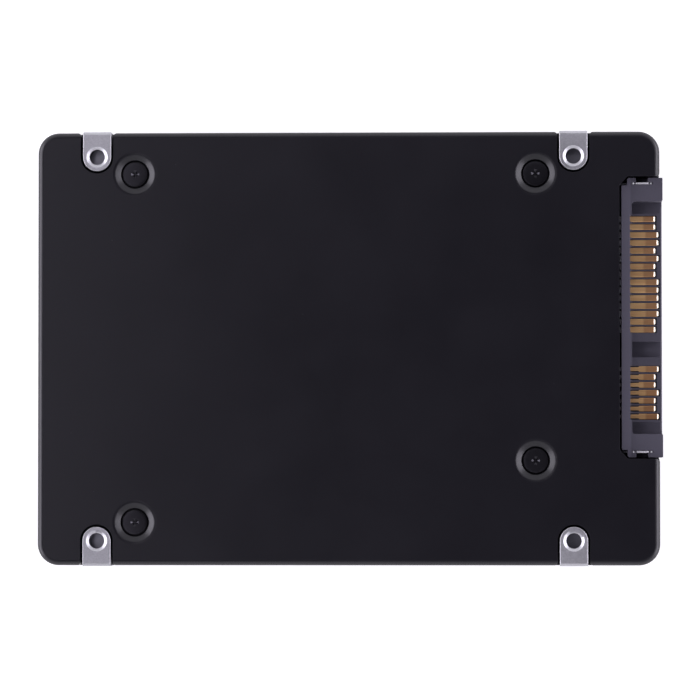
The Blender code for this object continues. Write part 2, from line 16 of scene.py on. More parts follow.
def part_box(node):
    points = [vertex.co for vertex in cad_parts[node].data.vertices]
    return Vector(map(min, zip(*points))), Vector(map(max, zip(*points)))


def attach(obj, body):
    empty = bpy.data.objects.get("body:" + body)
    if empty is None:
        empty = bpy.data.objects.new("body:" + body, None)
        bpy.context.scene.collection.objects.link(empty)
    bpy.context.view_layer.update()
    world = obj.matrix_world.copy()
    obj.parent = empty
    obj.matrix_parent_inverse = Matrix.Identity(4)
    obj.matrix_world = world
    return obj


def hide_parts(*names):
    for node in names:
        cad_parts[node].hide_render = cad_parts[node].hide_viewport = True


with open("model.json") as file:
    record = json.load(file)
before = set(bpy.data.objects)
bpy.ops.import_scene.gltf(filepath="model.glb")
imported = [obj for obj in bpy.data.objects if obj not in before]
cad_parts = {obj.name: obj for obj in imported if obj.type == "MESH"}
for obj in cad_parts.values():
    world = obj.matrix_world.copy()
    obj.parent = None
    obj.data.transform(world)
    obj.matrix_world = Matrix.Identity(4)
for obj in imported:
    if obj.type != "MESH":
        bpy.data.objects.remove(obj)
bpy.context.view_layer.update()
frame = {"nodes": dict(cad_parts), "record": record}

MM = 0.001
HAIR = 0.02 * MM  # between pieces that are one casting or are pressed together
SHARP_ANGLE = 35  # degrees between faces from which an edge is sharp

# Where the frame puts things.
COVER_LOW, COVER_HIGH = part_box("bottom_cover")
SHELL_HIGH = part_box("top_shell")[1]
PLUG_LOW, PLUG_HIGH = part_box("plug_housing")
LOCK_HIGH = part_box("board_lock_1")[1]
BOARD_LOW, BOARD_TOP = (corner.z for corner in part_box("circuit_board"))
LABEL_LOW, LABEL_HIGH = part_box("blank_label")
SCREWS = {f"case_screw_{n}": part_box(f"case_screw_{n}") for n in range(1, 5)}
SCREW_PLACES = [((low.x + high.x) / 2, (low.y + high.y) / 2) for low, high in SCREWS.values()]
MOUNTS = [Vector(m["pos_m"]) for m in frame["record"]["mounts"] if m["name"].startswith("bottom_lug")]
LUG_X = sorted({round(place.x, 6) for place in MOUNTS})
PLUG_Y = (PLUG_LOW.y + PLUG_HIGH.y) / 2

# Case.
TOP = COVER_HIGH.z
SEAM_LOW, SEAM_HIGH = 3.4 * MM, COVER_LOW.z
CASE_BACK, CASE_FRONT = COVER_LOW.x, COVER_HIGH.x
CASE_HALF = COVER_HIGH.y
CORNER, LEAST_CORNER = 3.4 * MM, 0.6 * MM
COVER_EDGE, COVER_CREASE = 0.95 * MM, 24
SHELL_EDGE = 0.6 * MM
SEAM_EDGE = 0.12 * MM
PLATE = 1.0 * MM
SKIRT = 1.0 * MM
LIP, LIP_TOP = 0.8 * MM, 4.4 * MM
CLEAR = 0.2 * MM  # between parts that only lie next to each other
NOTCH_BACK = 43.275 * MM
NOTCH_CORNER = (1.3 * MM, 1.5 * MM)
NOTCH_ROUND = 0.4 * MM
NOTCH_HALF = 22.64 * MM
COVER_BREAK = 0.12 * MM
BREAK = 0.07 * MM

# Lugs and their M3 holes.
HOLE_Y = 61.72 / 2 * MM
LUG_TOP, LUG_FACE = SHELL_HIGH.z, SHELL_HIGH.y
LUG_RADIUS = 2.25 * MM
LUG_NOTCH = LUG_RADIUS + 0.33 * MM
LUG_BASE = 0.8 * MM
LUG_EDGE = 0.13 * MM
END_RUN, END_DROP = 0.5 * MM, 0.28 * MM  # the slope at a lug's outer end
MOUTH_RADIUS = 0.6 * MM
M3_MINOR, M3_MAJOR, M3_PITCH = 1.25 * MM, 1.5 * MM, 0.5 * MM
COUNTERSINK, SIDE_SINK, SINK_SLOPE = 1.7 * MM, 1.55 * MM, 0.7
TOP_HOLE_DEPTH, SIDE_HOLE_DEPTH = 3.0 * MM, 2.3 * MM
SIDE_HOLE_Z = LUG_TOP - 3.0 * MM

# Blank label, the recess that it lies in, and its turned edge.
LABEL_CORNER, LABEL_RECESS, LABEL_TURN = 2 * MM, 0.2 * MM, 0.03 * MM

# Case screws and the dimples that they sit in.
SEAT_TOP, SEAT_BOTTOM = 5.5 * MM, 4.7 * MM
DIMPLE, DIMPLE_LIP = 3.3 * MM, 0.9 * MM
CONE, CONE_BOTTOM = 2.3 * MM, 6.2 * MM
SEAT = 2.2 * MM
CUP = 3.0 * MM
BORE = 1.1 * MM
POST, POST_FOOT = 2.1 * MM, 3.2 * MM
HEAD, HEAD_UNDER, HEAD_TOP = 2.0 * MM, 5.6 * MM, 6.32 * MM
SCREW_THREAD = (0.4 * MM, 0.75 * MM, 0.9 * MM)  # pitch, root radius, crest radius
RECESS = (  # reach and half width of the cross's arms, height
    (0.66 * MM, 0.25 * MM, HEAD_TOP),
    (0.63 * MM, 0.23 * MM, HEAD_TOP - 0.03 * MM),
    (0.3 * MM, 0.12 * MM, HEAD_TOP - 0.28 * MM),
)

# Plug.
BASE_BACK = 43.605 * MM
BASE_HALF = 21.25 * MM
ARM_BACK = 44.525 * MM
ARM_OUTER, ARM_INNER = 22.44 * MM, 18.675 * MM
ROOT = 45.275 * MM
ARM_NOTCH = (45.895 * MM, 47.895 * MM)
BLADE_TIP = 50.125 * MM
BLADE_LOW, BLADE_HIGH, BLADE_CUT = 2.88 * MM, 4.12 * MM, 0.12 * MM
POWER_BLADE = (PLUG_Y - 3.815 * MM, PLUG_Y + 16.755 * MM)
SIGNAL_BLADE = (PLUG_Y - 16.735 * MM, PLUG_Y - 6.325 * MM)
LEG_LOW, LEG_THICK = 1.75 * MM, 1.15 * MM
BAY_FLOOR = 1.6 * MM
GROOVE = 0.52 * MM
SLOT, SLOT_ENDS, SLOT_FLOOR, TUNNEL = 0.18 * MM, 0.06 * MM, 2.8 * MM, (3.7 * MM, 4.8 * MM)
PLUG_BREAK = 0.04 * MM
NECK_HALF, NECK_END = 0.3 * MM, 46.45 * MM  # the narrow part of a signal contact
NOSE = 0.4 * MM  # the rounded length at a contact's tip
CLIP, CLIP_THICK, CLIP_LINE = 3.25 * MM, 0.32 * MM, 21.54 * MM
NOTCH_FLOOR = 3.8 * MM
CONTACT_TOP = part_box("power_contact_01")[1].z

# Studio. The camera looks down the drive's Z axis, turned by a few degrees about X, Y and Z.
CAMERA_TURN = (1.821, 2.107, -0.006)
CAMERA_SHIFT = (-0.279 * MM, -0.037 * MM, 0)
CAMERA_DISTANCE, CAMERA_LENS = 0.7, 222.14
FLOOR_GLOW = 0.65
HORIZON = (1.63, 1.6, 1.74)
ZENITH = (0.03, 0.028, 0.042)
LAMP_TINT = (1.0, 0.955, 1.09)
SOFTBOXES = (  # name, place, size along and across, power in watts
    ("left_box", (-0.9, 0.0, 0.25), (1.2, 0.36), 6.9),
    ("right_box", (0.9, 0.0, 0.25), (1.2, 0.36), 6.8),
    ("near_left", (-0.11, 0.0, 0.3), (0.3, 0.04), 0.076),
    ("near_back", (0.0, 0.12, 0.3), (0.3, 0.04), 0.035),
    ("near_front", (0.0, -0.12, 0.3), (0.3, 0.04), 0.035),
)


# ---------------------------------------------------------------- outlines


def arc(x, y, radius, start, sweep, steps):
    """Points on an arc, with its angles in degrees."""
    angles = [math.radians(start + sweep * i / steps) for i in range(steps + 1)]
    return [(x + radius * math.cos(a), y + radius * math.sin(a)) for a in angles]


def ring(x, y, radius, steps):
    return arc(x, y, radius, 0, 360, steps)[:-1]


def rectangle(x_low, x_high, y_low, y_high):
    return [(x_low, y_low), (x_high, y_low), (x_high, y_high), (x_low, y_high)]


def rounded(x_low, x_high, y_low, y_high, radius, steps=10):
    left, right, low, high = x_low + radius, x_high - radius, y_low + radius, y_high - radius
    corners = ((right, high, 0), (left, high, 90), (left, low, 180), (right, low, 270))
    return [p for x, y, start in corners for p in arc(x, y, radius, start, 90, steps)]


def case_outline(inset):
    """The case's outline, moved in by inset."""
    x_range = (CASE_BACK + inset, CASE_FRONT - inset)
    y_range = (-CASE_HALF + inset, CASE_HALF - inset)
    return rounded(*x_range, *y_range, max(CORNER - inset, LEAST_CORNER), 16)


def eased(points, closed=False, steps=5):
    """A line or outline with its corners rounded. Each point is (a, b) or (a, b, radius)."""
    made = []
    for i, point in enumerate(points):
        here = Vector(point[:2])
        inner = closed or 0 < i < len(points) - 1
        if len(point) < 3 or not inner:
            made.append(tuple(here))
            continue
        back = (Vector(points[i - 1][:2]) - here).normalized()
        ahead = (Vector(points[(i + 1) % len(points)][:2]) - here).normalized()
        half = back.angle(ahead) / 2
        centre = here + (back + ahead).normalized() * point[2] / math.sin(half)
        reach = point[2] / math.tan(half)
        first = here + back * reach - centre
        last = here + ahead * reach - centre
        start = math.atan2(first.y, first.x)
        sweep = (math.atan2(last.y, last.x) - start + math.pi) % (2 * math.pi) - math.pi
        made += arc(centre.x, centre.y, point[2], math.degrees(start), math.degrees(sweep), steps)
    return made


def mirrored(outline, side):
    return outline if side > 0 else [(x, -y) for x, y in reversed(outline)]


def tongue(x, side, radius, reach, steps=24):
    """A lug's outline: round about its hole, straight out to |y| = reach on that side."""
    points = arc(x, HOLE_Y, radius, 180, 180, steps) + [(x + radius, reach), (x - radius, reach)]
    return mirrored(points, side)


# ---------------------------------------------------------------- meshes


def moulded(mesh, contours):
    """Adds one closed body. Each contour is its rings from top to bottom, each a list of equally many
    (x, y, z) points, and whether it opens at the top and at the bottom. The first is the outside,
    counter-clockwise, and the others are holes, clockwise."""
    loops = ([], [])
    for rings, *opens in contours:
        made = [[mesh.verts.new(p) for p in points] for points in rings]
        for upper, lower in zip(made, made[1:]):
            for i, corner in enumerate(upper):
                j = (i + 1) % len(upper)
                mesh.faces.new((corner, lower[i], lower[j], upper[j]))
        for end, loop, is_open in zip(loops, (made[0], made[-1]), opens):
            if is_open:
                end.append(loop)
            else:
                mesh.faces.new(loop)
    for end in loops:
        if len(end) == 1:
            mesh.faces.new(end[0])
            continue
        flat = [vert for loop in end for vert in loop]
        for triangle in tessellate_polygon([[v.co for v in loop] for loop in end]):
            mesh.faces.new([flat[i] for i in triangle])


def layers(outline_at, stations):
    """Rings through (inset, height) stations; outline_at gives the outline at an inset."""
    return [[(x, y, z) for x, y in outline_at(inset)] for inset, z in stations]


def hole(x, y, stations, steps=64):
    """Rings of a round hole through (radius, height) stations."""
    return [[(px, py, z) for px, py in reversed(ring(x, y, r, steps))] for r, z in stations]


def edge(width, flat, turn, steps=8, crease=0):
    """(inset, height) stations of a round edge, from the flat face down or up to the wall. The round
    starts at the crease angle in degrees."""
    first = math.radians(crease)
    stations = [(width + 0.05 * MM, flat)]
    for i in range(steps + 1):
        angle = first + (math.pi / 2 - first) * i / steps
        inset = width * (1 - math.sin(angle)) / (1 - math.sin(first))
        stations.append((inset, turn + (flat - turn) * math.cos(angle) / math.cos(first)))
    return stations


def prism(mesh, outline, z_low, z_high):
    moulded(mesh, [(layers(lambda _: outline, [(0, z_high), (0, z_low)]), True, True)])


def box(mesh, x_range, y_range, z_range):
    prism(mesh, rectangle(*x_range, *y_range), *z_range)


def side_prism(mesh, profile, y_low, y_high):
    """Extrudes a closed profile of (x, z) points along Y."""
    before = len(mesh.verts)
    prism(mesh, profile, -y_high, -y_low)
    mesh.verts.ensure_lookup_table()
    bmesh.ops.transform(mesh, matrix=Matrix.Rotation(math.pi / 2, 4, "X"), verts=mesh.verts[before:])


def turned(mesh, x, y, profile, steps=64):
    """A turned body about the vertical through (x, y), its (radius, height) profile from the top."""
    rings = [[(px, py, z) for px, py in ring(x, y, r, steps)] for r, z in profile]
    moulded(mesh, [(rings, True, True)])


def sharpen(data):
    data.shade_smooth()
    data.set_sharp_from_angle(angle=math.radians(SHARP_ANGLE))


def make(name, mesh, material=None):
    """Makes a piece from a bmesh, smooth but for its sharp edges."""
    bmesh.ops.recalc_face_normals(mesh, faces=mesh.faces)
    data = bpy.data.meshes.new(name)
    mesh.to_mesh(data)
    mesh.free()
    if material:
        data.materials.append(material)
    sharpen(data)
    piece = bpy.data.objects.new(name, data)
    bpy.context.scene.collection.objects.link(piece)
    return piece


def apply_modifiers(piece):
    shot = piece.evaluated_get(bpy.context.evaluated_depsgraph_get())
    data = bpy.data.meshes.new_from_object(shot)
    piece.modifiers.clear()
    old, piece.data = piece.data, data
    bpy.data.meshes.remove(old)


def settle(piece):
    """Applies a piece's modifiers and marks its sharp edges again."""
    apply_modifiers(piece)
    sharpen(piece.data)


def combine(target, operation, mesh):
    """Applies an exact Boolean with a helper mesh and drops the helper."""
    helper = make("helper", mesh)
    boolean = target.modifiers.new("helper", "BOOLEAN")
    boolean.solver = "EXACT"
    boolean.operation = operation
    boolean.object = helper
    settle(target)
    bpy.data.objects.remove(helper)


def soften(piece, width):
    """Breaks a piece's sharp edges, and keeps the shading of its flat faces flat."""
    merge = piece.modifiers.new("flats", "DECIMATE")
    merge.decimate_type = "DISSOLVE"
    merge.angle_limit = math.radians(0.05)
    apply_modifiers(piece)
    bevel = piece.modifiers.new("edges", "BEVEL")
    bevel.width = width
    bevel.segments = 2
    bevel.limit_method = "ANGLE"
    bevel.angle_limit = math.radians(SHARP_ANGLE)
    bevel.use_clamp_overlap = False
    settle(piece)
    flatten(piece)


def flatten(piece):
    """Weights a piece's normals by area, so that its flat faces shade flat."""
    weighted = piece.modifiers.new("normals", "WEIGHTED_NORMAL")
    weighted.keep_sharp = True
    apply_modifiers(piece)


def install(piece, slot, *nodes):
    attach(piece, "root")
    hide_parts(*nodes)


# ---------------------------------------------------------------- materials


def add(tree, kind, inputs=(), **settings):
    """Adds a shader node; an input is a value or another node's output."""
    made = tree.nodes.new("ShaderNode" + kind)
    for key, value in settings.items():
        setattr(made, key, value)
    for key, value in dict(inputs).items():
        if isinstance(value, bpy.types.NodeSocket):
            tree.links.new(value, made.inputs[key])
        else:
            made.inputs[key].default_value = value
    return made


def ranged(tree, value, from_low, from_high, low, high):
    """Maps a value linearly from one range to another and keeps it inside the second."""
    ends = {"From Min": from_low, "From Max": from_high, "To Min": low, "To Max": high}
    return add(tree, "MapRange", {"Value": value, **ends}).outputs["Result"]


def noise(tree, place, scale):
    return add(tree, "TexNoise", {"Vector": place, "Scale": scale, "Detail": 4}).outputs["Fac"]


def mixed(tree, factor, one, two):
    """Mixes two colours, each a value or another node's output."""
    made = add(tree, "Mix", data_type="RGBA")
    tree.links.new(factor, made.inputs[0])
    for socket, value in ((6, one), (7, two)):
        if isinstance(value, bpy.types.NodeSocket):
            tree.links.new(value, made.inputs[socket])
        else:
            made.inputs[socket].default_value = (*value, 1)
    return made.outputs[2]


def finish(name, dark, light, rough, metallic, grain, depth, stretch=(1, 1, 1), **sockets):
    """A material with broad and fine colour variation, uneven gloss and a fine relief. grain is the
    relief's frequency per metre, depth its height, stretch the grain's scale along each axis."""
    material = bpy.data.materials.new(name)
    material.use_nodes = True
    tree = material.node_tree
    shader = tree.nodes["Principled BSDF"]
    place = add(tree, "TexCoord").outputs["Object"]
    along = add(tree, "Mapping", {"Vector": place, "Scale": stretch}).outputs["Vector"]
    broad, fine = noise(tree, place, 90), noise(tree, along, grain)
    blend = add(tree, "Math", {0: broad, 1: fine}, operation="ADD").outputs[0]
    colour = mixed(tree, ranged(tree, blend, 0.7, 1.3, 0, 1), dark, light)
    tree.links.new(colour, shader.inputs["Base Color"])
    tree.links.new(ranged(tree, blend, 0.7, 1.3, *rough), shader.inputs["Roughness"])
    relief = add(tree, "Bump", {"Height": fine, "Strength": 0.5, "Distance": depth})
    tree.links.new(relief.outputs["Normal"], shader.inputs["Normal"])
    shader.inputs["Metallic"].default_value = metallic
    for key, value in sockets.items():
        shader.inputs[key.replace("_", " ")].default_value = value
    return material


def add_specks(material, colour, scale, size):
    """Sparse specks of dust over a material's own colour."""
    tree = material.node_tree
    shader = tree.nodes["Principled BSDF"]
    base = shader.inputs["Base Color"].links[0].from_socket
    place = add(tree, "TexCoord").outputs["Object"]
    cells = add(tree, "TexVoronoi", {"Vector": place, "Scale": scale}).outputs["Distance"]
    factor = ranged(tree, cells, size * 0.4, size, 0.6, 0)
    tree.links.new(mixed(tree, factor, base, colour), shader.inputs["Base Color"])


def tint_along(material, coordinate, axis, low, high, colour):
    """Turns a material's colour into another one along an axis, from low to high."""
    tree = material.node_tree
    shader = tree.nodes["Principled BSDF"]
    base = shader.inputs["Base Color"].links[0].from_socket
    place = add(tree, "TexCoord").outputs[coordinate]
    value = add(tree, "SeparateXYZ", {0: place}).outputs[axis]
    factor = ranged(tree, value, low, high, 0, 1)
    tree.links.new(mixed(tree, factor, base, colour), shader.inputs["Base Color"])


# ---------------------------------------------------------------- case


def dimple():
    """(radius, height) stations of a screw's dimple, down to the bore through its seat."""
    return eased(
        [
            (DIMPLE + 0.6 * MM, TOP),
            (DIMPLE, TOP, DIMPLE_LIP),
            (CONE, CONE_BOTTOM, 0.05 * MM),
            (SEAT, CONE_BOTTOM - 0.15 * MM, 0.1 * MM),
            (SEAT, SEAT_TOP),
            (BORE, SEAT_TOP),
            (BORE, SEAM_HIGH),
        ]
    )


def lug_notch(x, side):
    """The outline of the cover's notch round a lug, with a flared mouth."""
    points = arc(x, HOLE_Y, LUG_NOTCH, 180, 180, 24)
    turn = 60
    shoulder = CASE_HALF - MOUTH_RADIUS
    flare = arc(x + LUG_NOTCH + MOUTH_RADIUS, shoulder, MOUTH_RADIUS, 180, -turn, 6)
    end_x, end_y = flare[-1]
    out = math.radians(90 - turn)
    flare.append((end_x + MM * math.cos(out), end_y + MM * math.sin(out)))
    other = [(2 * x - px, py) for px, py in reversed(flare)]
    return mirrored(points + flare + other, side)


def plug_notch():
    """The outline of the cover's notch at the plug, its inner corners cut off and its mouth flared."""
    low, high = PLUG_Y - NOTCH_HALF, PLUG_Y + NOTCH_HALF
    shoulder, out, spread = CASE_FRONT - 0.4 * MM, CASE_FRONT + 0.6 * MM, 0.8 * MM
    outline = [
        (NOTCH_BACK, low + NOTCH_CORNER[1], NOTCH_ROUND),
        (NOTCH_BACK + NOTCH_CORNER[0], low, NOTCH_ROUND),
        (shoulder, low, 0.5 * MM),
        (out, low - spread),
        (out, high + spread),
        (shoulder, high, 0.5 * MM),
        (NOTCH_BACK + NOTCH_CORNER[0], high, NOTCH_ROUND),
        (NOTCH_BACK, high - NOTCH_CORNER[1], NOTCH_ROUND),
    ]
    return eased(outline, closed=True)


def cover(paint):
    """The cover with its skirt, screw dimples and cups, lug notches and plug notch."""
    mesh = bmesh.new()
    stations = edge(COVER_EDGE, TOP, TOP - COVER_EDGE, 9, COVER_CREASE)
    stations += reversed(edge(SEAM_EDGE, SEAM_HIGH, SEAM_HIGH + SEAM_EDGE, 4))
    contours = [(layers(case_outline, stations), True, True)]
    contours += [(hole(x, y, dimple()), True, True) for x, y in SCREW_PLACES]
    moulded(mesh, contours)
    piece = make("cover", mesh, paint)

    room = bmesh.new()
    ceiling = TOP - PLATE
    walls = layers(case_outline, [(SKIRT, ceiling), (SKIRT, SEAM_HIGH - MM)])
    cups = [(hole(x, y, [(CUP, ceiling), (CUP, SEAT_BOTTOM)]), True, False) for x, y in SCREW_PLACES]
    moulded(room, [(walls, True, True)] + cups)
    combine(piece, "DIFFERENCE", room)

    notches = bmesh.new()
    for x in LUG_X:
        for side in (1, -1):
            prism(notches, lug_notch(x, side), SEAM_HIGH - MM, TOP + MM)
    prism(notches, plug_notch(), SEAM_HIGH - MM, TOP + MM)
    combine(piece, "DIFFERENCE", notches)
    soften(piece, COVER_BREAK)
    install(piece, "black_paint", "bottom_cover")


def shell(paint):
    """The tray on the label side, with its lip, screw posts, plug mouth and label recess."""
    mesh = bmesh.new()
    lip = SKIRT + CLEAR
    stations = [(lip, LIP_TOP), (lip, SEAM_LOW)]
    stations += edge(SEAM_EDGE, SEAM_LOW, SEAM_LOW - SEAM_EDGE, 4)
    stations += reversed(edge(SHELL_EDGE, 0, SHELL_EDGE))
    inside = [ring[::-1] for ring in layers(case_outline, [(lip + LIP, LIP_TOP), (lip + LIP, PLATE)])]
    moulded(mesh, [(layers(case_outline, stations), True, True), (inside, True, False)])
    piece = make("shell", mesh, paint)

    posts = bmesh.new()
    foot, shoulder, top = PLATE / 2, BOARD_LOW - CLEAR, SEAT_BOTTOM - CLEAR
    for x, y in SCREW_PLACES:
        profile = ((POST, top), (POST, shoulder), (POST_FOOT, shoulder), (POST_FOOT, foot))
        turned(posts, x, y, profile)
    combine(piece, "UNION", posts)

    cuts = bmesh.new()
    for x, y in SCREW_PLACES:
        turned(cuts, x, y, ((BORE, SEAT_TOP), (BORE, 1.8 * MM)))
    for x in LUG_X:
        for side in (1, -1):
            pocket = tongue(x, side, LUG_RADIUS + HAIR, CASE_HALF + MM)
            prism(cuts, pocket, LUG_BASE - HAIR, LUG_TOP + MM)
    mouth = (PLUG_Y - NOTCH_HALF, PLUG_Y + NOTCH_HALF)
    box(cuts, (BASE_BACK - MM, CASE_FRONT + MM), mouth, (PLATE, LUG_TOP + MM))
    reach, half = (round(far + CLEAR, 6) for far in LABEL_HIGH.xy)
    prism(cuts, rounded(-reach, reach, -half, half, LABEL_CORNER), -MM, LABEL_RECESS)
    combine(piece, "DIFFERENCE", cuts)
    soften(piece, BREAK)
    install(piece, "black_paint", "top_shell")


def threaded_bore(mesh, place, depth, mouth):
    """A closed cutter for a countersunk M3 hole that goes down from place's origin."""
    steps, rows = 48, 8
    start = (mouth - M3_MINOR) * SINK_SLOPE
    rings = [ring(0, 0, mouth + 0.3 * MM, steps)]
    heights = [0.3 * MM * SINK_SLOPE]
    for row in range(round((depth - start) / M3_PITCH * rows) + 1):
        z = start + row * M3_PITCH / rows
        fade = min(1, (z - start) / M3_PITCH, max(0, depth - z) / (M3_PITCH / 2))
        points = []
        for i in range(steps):
            phase = (-z / M3_PITCH - i / steps) % 1
            ridge = min(1, max(0, 1.2 - abs(2 * phase - 1) * 1.5))
            radius = M3_MINOR + (M3_MAJOR - M3_MINOR) * ridge * fade
            angle = 2 * math.pi * i / steps
            points.append((radius * math.cos(angle), radius * math.sin(angle)))
        rings.append(points)
        heights.append(-z)
    before = len(mesh.verts)
    body = [[(x, y, z) for x, y in points] for points, z in zip(rings, heights)]
    moulded(mesh, [(body, True, True)])
    mesh.verts.ensure_lookup_table()
    bmesh.ops.transform(mesh, matrix=place, verts=mesh.verts[before:])


def lugs(metal):
    """The bare lugs of the casting, each with a threaded hole in its top and one in its side."""
    number = 0
    for x in LUG_X:
        for side in (1, -1):
            number += 1
            mesh = bmesh.new()
            stations = edge(LUG_EDGE, LUG_TOP, LUG_TOP - LUG_EDGE, 6) + [(0, LUG_BASE)]

            def outline(inset):
                return tongue(x, side, LUG_RADIUS - inset, LUG_FACE - inset)

            moulded(mesh, [(layers(outline, stations), True, True)])
            piece = make(f"lug_{number}", mesh, metal)
            wedge = bmesh.new()
            box(wedge, (x - LUG_NOTCH, x + LUG_NOTCH), (-2 * MM, 2 * MM), (0, MM))
            slope = Matrix.Rotation(-side * math.atan(END_DROP / END_RUN), 4, "X")
            middle = Vector((0, side * (LUG_FACE - END_RUN / 2), LUG_TOP - END_DROP / 2))
            bmesh.ops.transform(wedge, matrix=Matrix.Translation(middle) @ slope, verts=wedge.verts)
            combine(piece, "DIFFERENCE", wedge)
            soften(piece, BREAK)
            in_top = ((x, side * HOLE_Y, LUG_TOP), 0, TOP_HOLE_DEPTH, COUNTERSINK)
            in_side = ((x, side * LUG_FACE, SIDE_HOLE_Z), -90 * side, SIDE_HOLE_DEPTH, SIDE_SINK)
            for place, turn, depth, mouth in (in_top, in_side):
                bore = bmesh.new()
                turned_place = Matrix.Translation(place) @ Matrix.Rotation(math.radians(turn), 4, "X")
                threaded_bore(bore, turned_place, depth, mouth)
                combine(piece, "DIFFERENCE", bore)
            flatten(piece)
            install(piece, "bare_metal", "top_shell")


def cross(x, y, reach, half):
    """A cross's outline, its arms along X and Y."""
    corners = []
    for quarter in range(4):
        turn = Matrix.Rotation(math.radians(90 * quarter), 2)
        arm = ((half, -half), (reach, -half), (reach, half))
        corners += [(*(Vector((x, y)) + turn @ Vector(p)), half * 0.4) for p in arm]
    return eased(corners, closed=True, steps=3)


def screws(steel):
    """The case screws: a flat head with a cross recess, and a threaded shank with a tapered tip."""
    pitch, root, crest = SCREW_THREAD
    steps, rows = 64, 6
    for name, (low, high) in SCREWS.items():
        x, y = (low.x + high.x) / 2, (low.y + high.y) / 2
        head = eased(
            [
                (HEAD - 0.5 * MM, HEAD_TOP),
                (HEAD, HEAD_TOP - 0.03 * MM, 0.12 * MM),
                (HEAD, HEAD_UNDER, 0.04 * MM),
                (crest, HEAD_UNDER),
            ]
        )
        rings = [[(px, py, z) for px, py in ring(x, y, r, steps)] for r, z in head]
        shank = HEAD_UNDER - low.z
        for row in range(1, round(shank / pitch * rows) + 1):
            z = HEAD_UNDER - row * pitch / rows
            taper = min(1, (z - low.z) / (0.5 * MM) * 0.5 + 0.5)
            points = []
            for i in range(steps):
                phase = (z / pitch - i / steps) % 1
                radius = (root + (crest - root) * abs(2 * phase - 1)) * taper
                angle = 2 * math.pi * i / steps
                points.append((x + radius * math.cos(angle), y + radius * math.sin(angle), z))
            rings.append(points)
        recess = []
        for reach, half, z in RECESS:
            recess.append([(px, py, z) for px, py in reversed(cross(x, y, reach, half))])
        mesh = bmesh.new()
        moulded(mesh, [(rings, True, True), (recess, True, False)])
        piece = make(name.replace("case", "cover"), mesh, steel)
        flatten(piece)
        install(piece, "black_screw", name)


# ---------------------------------------------------------------- plug


def plug_outline():
    """The outline of the plug's base bar and arms, without its blades."""
    half = [
        (BASE_BACK, BASE_HALF, 0.25 * MM),
        (ARM_BACK, BASE_HALF),
        (ARM_BACK, ARM_OUTER, 0.35 * MM),
        (PLUG_HIGH.x, ARM_OUTER, 0.15 * MM),
    ]
    other = [(x, -y, *rest) for x, y, *rest in reversed(half)]
    whole = [(x, PLUG_Y + y, *rest) for x, y, *rest in reversed(half + other)]
    return eased(whole, closed=True)


def arm_notch(end):
    """The outline of the latch notch in an arm's outer side."""
    deep, out = CLIP_LINE + 0.06 * MM, ARM_OUTER + MM
    outline = [
        (ARM_NOTCH[0] - 0.1 * MM, out),
        (ARM_NOTCH[0] + 0.1 * MM, deep),
        (ARM_NOTCH[1] - 0.1 * MM, deep),
        (ARM_NOTCH[1] + 0.1 * MM, out),
    ]
    return [(x, PLUG_Y + y) for x, y in mirrored(outline, end)]


def plug_bay():
    """The outline of the space between the arms, its mouth flared."""
    half = [
        (ROOT, ARM_INNER, 0.5 * MM),
        (PLUG_HIGH.x - 0.15 * MM, ARM_INNER, 0.35 * MM),
        (PLUG_HIGH.x + 0.6 * MM, ARM_INNER + 0.75 * MM),
    ]
    other = [(x, -y, *rest) for x, y, *rest in reversed(half)]
    return eased([(x, PLUG_Y + y, *rest) for x, y, *rest in reversed(half + other)], closed=True)


def blade_profile(low, high, cut):
    """A blade's or leg's (x, z) profile, its lower and upper front edges cut off."""
    back = ROOT - 0.8 * MM
    tip = BLADE_TIP
    lower = [(back, low), (tip - cut, low), (tip, low + cut)]
    return lower + [(tip, high - cut), (tip - cut, high), (back, high)]


def contact_boxes():
    """(name, centre line's y, tip's x) of each contact of the frame."""
    names = [f"power_contact_{n:02d}" for n in range(1, 16)]
    names += [f"signal_contact_{n}" for n in range(1, 8)]
    for name in names:
        low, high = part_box(name)
        yield name, (low.y + high.y) / 2, high.x


